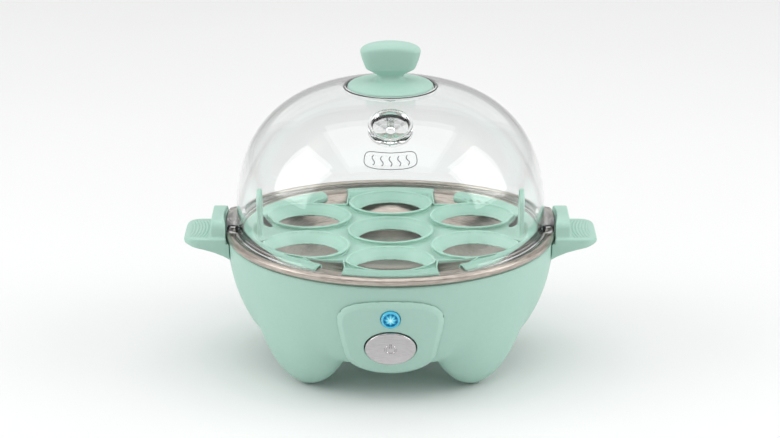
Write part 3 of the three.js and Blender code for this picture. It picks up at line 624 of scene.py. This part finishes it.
# Each pad is a thick rubber button with a rounded rim and a shallow dish underneath.
pad_corner = [(PAD["radius"], 0), (PAD["radius"], PAD["height"])]
pad_profile = rounded(
    [(0, 0.4), (1.5, 0.3), (1.9, 0), *pad_corner, (0, PAD["height"])], 0.4, closed=False
)
for place_name in ("front_left", "front_right", "back_left", "back_right"):
    low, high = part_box("foot_pad_" + place_name)
    pad = lathe("rubber_foot_" + place_name, pad_profile, 48, RUBBER)
    place(pad, Matrix.Translation(((low.x + high.x) / 2 / MM, (low.y + high.y) / 2 / MM, 0)))
    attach(pad, "base")
    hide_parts("foot_pad_" + place_name)


def cover_field(x, y, z):
    """The cover underneath: a dished disc with five slots and four sunk screw holes."""
    reach = length(x, y)
    middle = (COVER["bottom"] + COVER["top"]) / 2
    disc = smax(reach - COVER["radius"], np.abs(z - middle) - COVER["top"] + middle, 0.9)
    disc = smax(disc, -smax(np.abs(reach - 22.5) - 0.5, z - COVER["bottom"] - 0.35), 0.2)
    for i in range(-2, 3):
        slot = box2(x - 6 * i, y, 1.2, 11 if i % 2 else 15, 1.2)
        disc = smax(disc, -slot, 0.4)
    ax, ay = np.abs(x), np.abs(y)
    hole = np.minimum(length(ax - COVER["screws"], ay), length(ax, ay - COVER["screws"])) - COVER["hole"]
    return smax(disc, -hole, 0.3)


cover = moulded("bottom_plate", cover_field, (-32.5, -32.5, 13), (32.5, 32.5, 16), 0.42, MINT)
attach(cover, "base")
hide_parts("bottom_cover")


HANDLE_SIDE = [
    (66, 65), (98.6, 65), (100.6, 64.5), (101.5, 63.2), (100.9, 61.9), (96.5, 60.6),
    (91, 59.3), (86, 57.8), (81.5, 55.9), (77, 53.2), (66, 53),
]
HANDLE_RIB = [(66, 51.5), (80, 51.9), (90, 56.4), (92.5, 58.5), (92.5, 62), (66, 62)]


def tread(x, y, z):
    """The height of the fine curved ribs across the top of a handle, fading out at their ends."""
    wave = np.sin((x - TREAD["bow"] * y * y) * 2 * math.pi / TREAD["pitch"])
    fade = np.clip((HANDLE["half"] - TREAD["inset"] - np.abs(y)) / 1.2, 0, 1)
    fade = fade * np.clip((TREAD["end"] - x) / 1.2, 0, 1)
    fade = fade * np.clip((x - HANDLE_TAB["out"] - 0.8) / 1.0, 0, 1) * (z > 63)
    return TREAD["high"] * wave * fade - TREAD["high"] * fade


def handle_field(x, y, z):
    """A handle that points along +X: grip, upright tab, rib underneath and fine ribs across the top."""
    side = polygon(x, z, HANDLE_SIDE)
    plan = box2(x - HANDLE["root"], y, HANDLE["tip"] - HANDLE["root"], HANDLE["half"], 8.0)
    grip = smax(side, plan, 1.1) - tread(x, y, z)
    rib = smax(polygon(x, z, HANDLE_RIB), np.abs(y) - 5.5, 1.2)
    up = z - HANDLE_TAB["middle"]
    tab = box2(y, up, HANDLE_TAB["half"], HANDLE_TAB["top"] - HANDLE_TAB["middle"], 4.0)
    tab = smax(tab, smax(x - HANDLE_TAB["out"], HANDLE_TAB["bottom"] - z), 1.0)
    whole = smin(smin(grip, rib, 2.0), tab, 1.6)
    whole = smax(whole, -(skin_field(x, y, z) - 0.35), 0.2)
    whole = smax(whole, -smax(length(x, y) - HANDLE["clear"], 62.5 - z), 0.8)
    bore = smax(length(y, z - HANDLE["screw_z"]) - 1.7, x - HANDLE["screw_end"])
    return smax(whole, -bore, 0.2)


for side_name, turn in (("right", 0.0), ("left", math.pi)):
    grip_piece = moulded(
        "handle_grip_" + side_name, handle_field, (72, -17, 50), (102, 17, 76), 0.4, MINT
    )
    place(grip_piece, Matrix.Rotation(turn, 4, "Z"))
    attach(grip_piece, "base")
    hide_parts("handle_" + side_name)


def gland_field(x, y, z):
    """The bushing in the back wall, with ribs round its nose."""
    u, v, w = local(GLAND_FRAME, x, y, z)
    reach = length(u, v)
    collar = smax(reach - GLAND["collar"], np.abs(w + 2.8) - 5.2, 0.9)
    nose = smax(reach - GLAND["hole"] - 1.0 + 0.28 * np.clip(w - 2.4, 0, 4), np.abs(w - 1.7) - 3.7, 0.8)
    collar = smin(collar, nose, 0.8)
    collar = smax(collar, -(skin_field(x, y, z) - 0.35), 0.1)
    barrel = smax(reach - GLAND["hole"] + 0.3, np.abs(w + 4.6) - 9.0, 0.4)
    grip = 0.25 * (np.cos(12 * np.arctan2(v, u)) > 0.4) * (w > -2.5) * (w < 2.2) * (reach > 7)
    whole = smin(collar, barrel, 0.3) + grip
    return smax(whole, -(reach - GLAND["bore"]), 0.6)


gland = moulded("lead_bushing", gland_field, (-8.6, 57, 18), (8.6, 77.4, 36), 0.32, BLACK)
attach(gland, "base")
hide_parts("cord_gland")


# ------------------------------------------------------------------ the controls

def bezier(a, b, c, d, count):
    """Points on a curve from a up to, but not including, d."""
    made = []
    for i in range(count):
        t = i / count
        weights = ((1 - t) ** 3, 3 * t * (1 - t) ** 2, 3 * t * t * (1 - t), t**3)
        made.append(tuple(sum(w * p[k] for w, p in zip(weights, (a, b, c, d))) for k in (0, 1)))
    return made


def panel_outline():
    """From the front, as (x, z): arched on top and tapering down to a full curve."""
    top, bottom = (0, PANEL["top"]), (0, PANEL["bottom"])
    left = bezier(top, (-12, PANEL["top"]), (-25.2, 55), (-25.2, 45.2), 14)
    left += bezier((-25.2, 45.2), (-25.2, 40.5), (-22.6, 30), (-21.8, 25.5), 8)
    left += bezier((-21.8, 25.5), (-20.6, 18.5), (-12, PANEL["bottom"]), bottom, 14)
    right = [(-x, z) for x, z in left[1:]]
    return left + [bottom] + right[::-1]


PANEL_POINTS = panel_outline()


def panel_field(x, y, z):
    """A plate that follows the bowl, with a broad bevel all round its face."""
    outline = polygon(x, z, PANEL_POINTS)
    bevel = 1 - np.clip(-outline / 2.9, 0, 1)
    face = bowl_field(x, y, z) - PANEL["proud"] + 1.7 * bevel**1.4
    plate = smax(outline, face, 0.7)
    plate = smax(plate, -(skin_field(x, y, z) - 0.35), 0.2)
    opening = oval(BUTTON_FRAME, x, y, z, BUTTON["half"] + 0.4, BUTTON["half_high"] + 0.4)
    plate = smax(plate, -opening, 0.3)
    opening = oval(LENS_FRAME, x, y, z, LENS["radius"] + 0.3, LENS["radius"] + 0.3)
    return smax(plate, -opening, 0.3)


panel = moulded("front_panel", panel_field, (-25.8, -83.2, 13.2), (25.8, -56, 57.2), 0.5, PANEL_MINT)
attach(panel, "base")
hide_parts("control_panel")


def button_field(x, y, z):
    """The button: an oval cap with a shallow dish, a raised power mark, a flange and a stem."""
    u, v, w = local(BUTTON_FRAME, x, y, z)
    cap = oval(BUTTON_FRAME, x, y, z, BUTTON["half"], BUTTON["half_high"])
    dish = np.clip(1 - (u / BUTTON["half"]) ** 2 - (v / BUTTON["half_high"]) ** 2 - 0.12, 0, 1)
    ring = np.abs(length(u, v + 0.6) - 2.5) - 0.38
    ring = np.maximum(ring, np.where((np.abs(u) < 1.2) & (v > 0), 1.0, -1.0))
    bar = box2(u, v - 1.7, 0.38, 1.7, 0.3)
    mark = np.clip(0.5 - np.minimum(ring, bar) / 0.3, 0, 1)
    face = bowl_field(x, y, z) - BUTTON["proud"] + 1.8 * dish - 0.5 * mark
    body = smax(smax(cap, face, 0.7), -2.4 - w)
    flange = oval(BUTTON_FRAME, x, y, z, BUTTON["half"] + 1.5, BUTTON["half_high"])
    body = smin(body, smax(flange, np.abs(w + 2.4) - 0.6, 0.2), 0.1)
    return smin(body, smax(length(u, v) - 3.0, np.abs(w + 4.6) - 2.3, 0.3), 0.3)


button = moulded("button_cap", button_field, (-13.8, -83, 19), (13.8, -61, 45), 0.24, SATIN)
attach(button, "button")
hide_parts("power_button")


def jewel_lens():
    """The lens: a round bezel and barrel, and a cut jewel of two rows of facets inside it."""
    ring = LENS["ring"]
    profile = rounded(
        [(0, -6), (3.8, -6), (3.8, -3), (4.4, -3), (4.4, 2.9), (3.9, 3.46), (ring + 0.15, 3.1), (ring, 2.2)],
        0.35, closed=False,
    )
    points, faces = lathe_data(profile + [(0, 2.2)], 64)
    facets = 10
    rows = [(ring - 0.1, 2.15, 0.0), (2.3, 2.95, 0.5), (1.1, 3.35, 0.0), (0.0, 3.5, 0.0)]
    start = len(points)
    for r, z, shift in rows[:-1]:
        for i in range(facets):
            a = 2 * math.pi * (i + shift) / facets
            points.append((r * math.cos(a), r * math.sin(a), z))
    points.append((0, 0, rows[-1][1]))
    top = len(points) - 1
    for i in range(facets):
        j = (i + 1) % facets
        outer, middle, inner = start + i, start + facets + i, start + 2 * facets + i
        outer_next, middle_next, inner_next = start + j, start + facets + j, start + 2 * facets + j
        faces += [
            [outer, outer_next, middle],
            [outer_next, middle_next, middle],
            [middle, inner_next, inner],
            [middle, middle_next, inner_next],
            [inner, inner_next, top],
        ]
    faces.append([start + i for i in range(facets)][::-1])
    obj = mesh_object("lamp_jewel", points, faces, JEWEL)
    obj.data.set_sharp_from_angle(angle=math.radians(12))
    return place(obj, LENS_FRAME)


lens = jewel_lens()
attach(lens, "base")
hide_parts("indicator_lens")


# ------------------------------------------------------------------ the heating plate

def plate_profile():
    """The dish: a flat floor, a curved wall, a ledge for the tray and a rolled rim."""
    wall = [(46, 49), (53, 49.9), (58.6, 53), (63.4, 57.4), (66.8, 61.6), (69.2, 63.9)]
    top = [(0, 49), (30, 49), *wall, (69.8, RIM["ledge"]), (RIM["seat"], RIM["ledge"])]
    roll = [
        (RIM["seat"], RIM["top"] - 0.8),
        (RIM["seat"] + 0.9, RIM["top"]),
        (RIM["radius"] - 1.2, RIM["top"]),
        (RIM["radius"], RIM["top"] - 1.2),
        (RIM["radius"], RIM["bottom"] + 1.0),
        (RIM["radius"] - 1.0, RIM["bottom"]),
        (70.4, RIM["bottom"]),
    ]
    under = [(r + (0.35 if i else 0) + (0.35 if i > 2 else 0), z - 0.9) for i, (r, z) in enumerate(wall)]
    whole = top + roll + under[::-1] + [(30, 48.1), (0, 48.1)]
    return rounded(whole, 0.9, closed=False, arc=6)[::-1]


plate = lathe("steel_dish", plate_profile(), 256, STEEL)
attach(plate, "base")
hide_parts("heating_plate")


# ------------------------------------------------------------------ the egg tray

TRAY_SLOT = [(41, 45), (37.5, 53), (32.5, 58), (36.5, 66.5), (24, 76), (22, 66), (22.5, 46)]


def tray_field(x, y, z):
    """The tray, folded over both mirror planes: sheet, rim, cups, notches, leaf slots and tabs."""
    ax, ay = np.abs(x), np.abs(y)
    reach = length(ax, ay)
    low, high = TRAY["bottom"], TRAY["top"]
    rise = np.clip((reach - 64.8) / 3.2, 0, 1)
    middle = (low + high) / 2 + (65.3 - (low + high) / 2) * rise * rise * (3 - 2 * rise)
    sheet = smax(np.abs(z - middle) - 0.72, reach - TRAY["radius"], 0.6)
    bead = length(reach - TRAY["radius"] + 1.0, z - 65.25) - 0.72
    sheet = smin(sheet, bead, 0.6)
    notch = polygon(ax, ay, TRAY_SLOT) + 0.6
    lip = smax(np.abs(notch - 0.9) - 0.55, np.abs(z - 63.1) - 1.5, 0.6)
    lip = smax(lip, reach - 68.0, 0.6)
    collars = np.full(x.shape, 1e9)
    for cx, cy in ((0, 0), (0, CUP_CIRCLE), (CUP_CIRCLE * math.cos(math.pi / 6), CUP_CIRCLE / 2)):
        around = length(ax - cx, ay - cy)
        along = np.clip((z - 59.6) / 5.2, 0, 1)
        cone = (around - 16.4 - 4.1 * along) * 0.78
        collar = smax(np.abs(cone) - 0.62, np.abs(z - 62.5) - 3.0, 0.7)
        sheet = smax(sheet, -(cone + 0.2), 0.3)
        collars = smin(collars, collar, 0.4)
    body = smin(smin(sheet, lip, 0.5), collars, 1.0)
    body = smax(body, -(notch - 0.5), 0.5)
    for cx, cy in ((0, CUP_CIRCLE), (CUP_CIRCLE * math.cos(math.pi / 6), CUP_CIRCLE / 2)):
        body = smax(body, 15.2 - length(ax - cx, ay - cy), 0.3)
    tab = box2(y, z - 68, 7.5, TRAY["tab_top"] - 68, 7.4)
    tab = smax(tab, np.abs(ax - TRAY["tab_x"] + 1.25) - 1.15, 0.9)
    tab = smax(tab, 62 - z)
    body = smin(body, tab, 1.4)
    turn = math.radians(20)
    lx, ly = ax - 61.6, ay - 15.5
    leaf_u = lx * math.cos(turn) - ly * math.sin(turn)
    leaf_v = lx * math.sin(turn) + ly * math.cos(turn)
    leaf = length(leaf_u / 2, leaf_v / 6.4)
    leaf = leaf * (leaf - 1) / (length(leaf_u / 4, leaf_v / 41) + 1e-9)
    return smax(body, -leaf, 0.5)


tray = moulded("tray_shell", tray_field, (-73.5, -73.5, 58.8), (73.5, 73.5, 86.5), 0.62, TRAY_MINT)
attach(tray, "tray")
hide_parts("egg_tray")


# ------------------------------------------------------------------ the lid

def dome_arc(shape, end_radius, count):
    """Points up a dome from its base to where it has narrowed to the end radius."""
    end = math.acos((end_radius / shape["radius"]) ** (1 / shape["power_r"]))
    made = []
    for i in range(count + 1):
        t = end * i / count
        made.append((
            shape["radius"] * math.cos(t) ** shape["power_r"],
            shape["base"] + shape["height"] * math.sin(t) ** shape["power_z"],
        ))
    return made


def lid_shell():
    """The dome with its foot ring, knob ring, steam funnel and two lugs."""
    foot = RIM["ledge"] + 0.3
    seat = KNOB["seat"]
    outside = [(74.1, foot), (76.7, foot), (76.9, foot + 0.3), (76.9, foot + 1.6)]
    outside += [(76.6, foot + 2.1), (75.9, foot + 3)]
    outside += dome_arc(DOME, 23.6, 72)
    outside += [(22.9, seat + 0.5), (22.4, seat + 0.9), (21.8, seat + 0.9), (21.3, seat + 0.5)]
    outside += [(21.0, seat), (2.7, seat)]
    inside = [(2.7, DOME_INSIDE["pad"]), (11.4, DOME_INSIDE["pad"]), (12.0, DOME_INSIDE["pad"] + 0.4)]
    inside += dome_arc(DOME_INSIDE, 12.6, 72)[::-1]
    inside += [(74.3, 69.5), (73.8, 67.6), (73.7, foot + 0.6)]
    shell = lathe("clear_lid", outside + inside, 256, CLEAR, sharp=35)
    vent = Matrix.Translation((0, VENT["y"], VENT["z"])) @ Matrix.Rotation(VENT["lean"], 4, "X")
    collar = VENT["collar"]
    cutter = lathe("vent_cutter", [(0, -9), (collar - 0.8, -9), (collar - 0.8, 9), (0, 9)], 96, CLEAR)
    boolean(shell, place(cutter, vent), "DIFFERENCE")
    funnel_profile = rounded([
        (2.2, -3.4), (collar, -3.4), (collar, 2.2), (collar - 0.7, 2.6), (collar - 1.5, 2.2),
        (collar - 2.2, 0.4), (5.4, -0.8), (2.2, -1.9),
    ], 0.45)
    funnel = lathe("vent_funnel", funnel_profile, 96, CLEAR)
    boolean(shell, place(funnel, vent), "UNION")
    for side in (-1, 1):
        boolean(shell, lug_block(side), "UNION")
    shell.data.set_sharp_from_angle(angle=math.radians(35))
    return shell


def lug_block(side):
    """A wide tongue with rounded edges at the foot of the dome, just inside the handle's tab."""
    points, faces = [], []
    half, low, high = LUG["half"], LUG["bottom"], LUG["top"]
    levels = [(low, 0.5), (low + 0.15, 0.2), (low + 0.5, 0.0)]
    levels += [(high - 0.9, 0.0), (high - 0.3, 0.3), (high, 0.9)]
    for z, inset in levels:
        reach = LUG["out"] - inset
        ends = []
        for step in range(25):
            y = (half - inset) * (step / 12 - 1)
            rim = math.sqrt(reach * reach - y * y)
            corner = max(0.0, abs(y) - (half - inset) + 2.0)
            ends.append((rim - 2.0 + math.sqrt(max(0.0, 4.0 - corner * corner)), y))
        count = len(ends) * 2
        loop = ends + [(math.sqrt(LUG["inner"] ** 2 - y * y), y) for _, y in reversed(ends)]
        points += [(side * x, side * y, z) for x, y in loop]
    for level in range(len(levels) - 1):
        for i in range(count):
            a, b = level * count + i, level * count + (i + 1) % count
            faces.append([a, b, b + count, a + count])
    top = (len(levels) - 1) * count
    for i in range(count // 2 - 1):
        a, b, c, d = i, i + 1, count - 2 - i, count - 1 - i
        faces.append([d, c, b, a])
        faces.append([top + a, top + b, top + c, top + d])
    return mesh_object("lug", points, faces, CLEAR)


lid = lid_shell()
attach(lid, "lid")
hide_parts("lid_dome")


def knob_field(x, y, z):
    """The knob: a low round base, a neck, and a grip with flat sides that is widest near its top."""
    base = KNOB["seat"] + 0.3
    reach = length(x, y)
    crown = base + 3.9 - 2.6 * (reach / KNOB["disc"]) ** 2
    disc = smax(reach - KNOB["disc"], z - crown, 1.0)
    disc = smax(disc, base - z, 0.3)
    flare = np.clip((z - KNOB["neck_z"]) / 3.9, 0, 1)
    flare = flare * flare * (3 - 2 * flare)
    widen = 1 - np.clip((KNOB["widest_z"] - z) / 11.0, 0, 1) ** 1.6
    wide = 6.3 + 5.1 * flare + 3.4 * widen
    deep = 4.7 + 1.6 * flare + 1.1 * widen
    squared = (np.abs(x / wide) ** 3.0 + np.abs(y / deep) ** 3.0) ** (1 / 3.0)
    grip = (squared - 1) * np.minimum(wide, deep) * 0.9
    crest = KNOB["top"] - 0.010 * x * x - 0.012 * y * y
    grip = smax(grip, z - crest, 2.6)
    grip = smax(grip, base + 2 - z)
    whole = smin(disc, grip, 2.4)
    return smax(whole, -smax(reach - 1.9, z - base - 12.5), 0.3)


knob = moulded("knob_grip", knob_field, (-21, -21, 137), (21, 21, 160), 0.45, MINT)
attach(knob, "lid")
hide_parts("lid_knob")


def dome_at(angle, z):
    """The point just outside the dome at a height, turned from its front by an angle."""
    share = (z - DOME["base"]) / DOME["height"]
    t = math.asin(share ** (1 / DOME["power_z"]))
    r = DOME["radius"] * math.cos(t) ** DOME["power_r"] + 0.03
    return Vector((r * math.sin(angle), -r * math.cos(angle), z))


def banner_line(name, track, width):
    """A thin printed line on the dome along a track of (angle, height) points, bowed up at its ends."""
    points, faces = [], []
    spots = [dome_at(a, z + BANNER["bow"] * a * a) for a, z in track]
    for i, spot in enumerate(spots):
        ahead = spots[min(i + 1, len(spots) - 1)] - spots[max(i - 1, 0)]
        out = Vector((spot.x, spot.y, 30)).normalized()
        across = ahead.cross(out).normalized() * width / 2
        for lift in (0.0, 0.03):
            points += [spot - across + out * lift, spot + across + out * lift]
    count = len(spots)
    for i in range(count - 1):
        a, b = 4 * i, 4 * (i + 1)
        faces += [
            [a, a + 1, b + 1, b],
            [a + 2, b + 2, b + 3, a + 3],
            [a, b, b + 2, a + 2],
            [a + 1, a + 3, b + 3, b + 1],
        ]
    faces += [[0, 2, 3, 1], [4 * count - 4, 4 * count - 3, 4 * count - 1, 4 * count - 2]]
    obj = mesh_object(name, [tuple(p) for p in points], faces, PRINT)
    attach(obj, "lid")
    return obj


def steam_banner():
    """A plain lozenge with five rising wavy lines, in place of any wording."""
    middle = BANNER["middle"]
    ring = []
    steps = 64
    for i in range(steps + 1):
        a = 2 * math.pi * i / steps
        c, s = math.cos(a), math.sin(a)
        angle = BANNER["half_angle"] * math.copysign(abs(c) ** 0.35, c)
        ring.append((angle, middle + BANNER["half_high"] * math.copysign(abs(s) ** 0.6, s)))
    banner_line("banner_outline", ring, 0.35)
    for k in range(-2, 3):
        centre = BANNER["pitch"] * k
        wave = [(centre + 0.011 * math.sin(j * math.pi / 6), middle - 1.9 + 3.8 * j / 12) for j in range(13)]
        banner_line("banner_wave_%d" % (k + 3), wave, 0.4)


steam_banner()


# ------------------------------------------------------------------ carried-over pieces

FINISHES = {
    "cover_screw_1": ZINC, "cover_screw_2": ZINC, "cover_screw_3": ZINC, "cover_screw_4": ZINC,
    "handle_screw_left": ZINC, "handle_screw_right": ZINC, "gland_nut": BLACK,
    "lens_retainer": BLACK, "indicator_lamp": CERAMIC, "power_switch": BLACK,
    "switch_bracket": ZINC, "switch_plunger": CERAMIC, "clamp_stud": ZINC,
    "heat_spreader": ALUMINIUM, "heating_element": ZINC, "element_clamp": ZINC,
    "thermostat_bracket": ZINC, "thermostat": CERAMIC, "thermal_fuse": CERAMIC,
    "heat_shield": ALUMINIUM, "clamp_nut": ZINC, "plate_seal": SILICONE,
    "circuit_board": BOARD, "buzzer": BLACK, "terminal_block": CERAMIC,
    "element_lead": LEAD, "switch_lead": LEAD, "knob_washer": SILICONE, "knob_screw": ZINC,
}
for name, finish in FINISHES.items():
    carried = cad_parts[name]
    carried.data.materials.clear()
    carried.data.materials.append(finish)
    carried.data.set_sharp_from_angle(angle=math.radians(30))


# ------------------------------------------------------------------ floor, light and camera

def studio_floor():
    """A wide pale sheet just under the feet."""
    material, tree, shader, where = new_material("paper_floor")
    tone = shades(tree, noise(tree, where, 3.0, 2.0), (0.86, 0.865, 0.862, 1), (0.88, 0.884, 0.882, 1))
    tree.links.new(tone, shader.inputs["Base Color"])
    shader.inputs["Roughness"].default_value = 0.75
    far = 4000
    corners = [(-far, -far, 0), (far, -far, 0), (far, far, 0), (-far, far, 0)]
    floor = mesh_object("floor", corners, [[0, 1, 2, 3]], material, smooth=False)
    floor.location.z = -0.0001
    floor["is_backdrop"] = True


def lamp(name, spot, target, wide, high, power):
    """A soft white panel lamp in metres and watts, turned to face its target."""
    data = bpy.data.lights.new(name, "AREA")
    data.shape = "RECTANGLE"
    data.size, data.size_y = wide, high
    data.energy = power
    obj = bpy.data.objects.new(name, data)
    obj.location = spot
    obj.rotation_euler = (Vector(target) - Vector(spot)).to_track_quat("-Z", "Y").to_euler()
    bpy.context.scene.collection.objects.link(obj)


studio_floor()
world = bpy.data.worlds.new("studio")
world.use_nodes = True
world.node_tree.nodes["Background"].inputs["Color"].default_value = (1.0, 1.0, 1.0, 1)
world.node_tree.nodes["Background"].inputs["Strength"].default_value = 0.52
bpy.context.scene.world = world

lamp("overhead", (0, -0.05, 1.5), (0, 0, 0.06), 1.6, 1.6, 9.4)
lamp("side_left", (-1.3, -0.2, 0.75), (0, 0, 0.07), 0.9, 1.1, 8)
lamp("side_right", (1.3, -0.2, 0.75), (0, 0, 0.07), 0.9, 1.1, 8)
lamp("back", (0, 1.6, 0.9), (0, 0, 0.07), 2.2, 0.9, 2.5)

TARGET = Vector((-0.00025, 0, 0.070))
ELEVATION = math.radians(18.4)
DISTANCE = 1.2
FOCAL_LENGTH = 112.43
camera_data = bpy.data.cameras.new("camera")
camera_data.lens = FOCAL_LENGTH
camera_data.sensor_width = 36
camera_data.clip_start = 0.05
camera = bpy.data.objects.new("camera", camera_data)
camera.location = TARGET + Vector((0, -math.cos(ELEVATION), math.sin(ELEVATION))) * DISTANCE
camera.rotation_euler = (math.pi / 2 - ELEVATION, 0, 0)
bpy.context.scene.collection.objects.link(camera)
bpy.context.scene.camera = camera
bpy.context.scene.view_settings.view_transform = "Standard"
bpy.context.scene.view_settings.look = "None"

low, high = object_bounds()
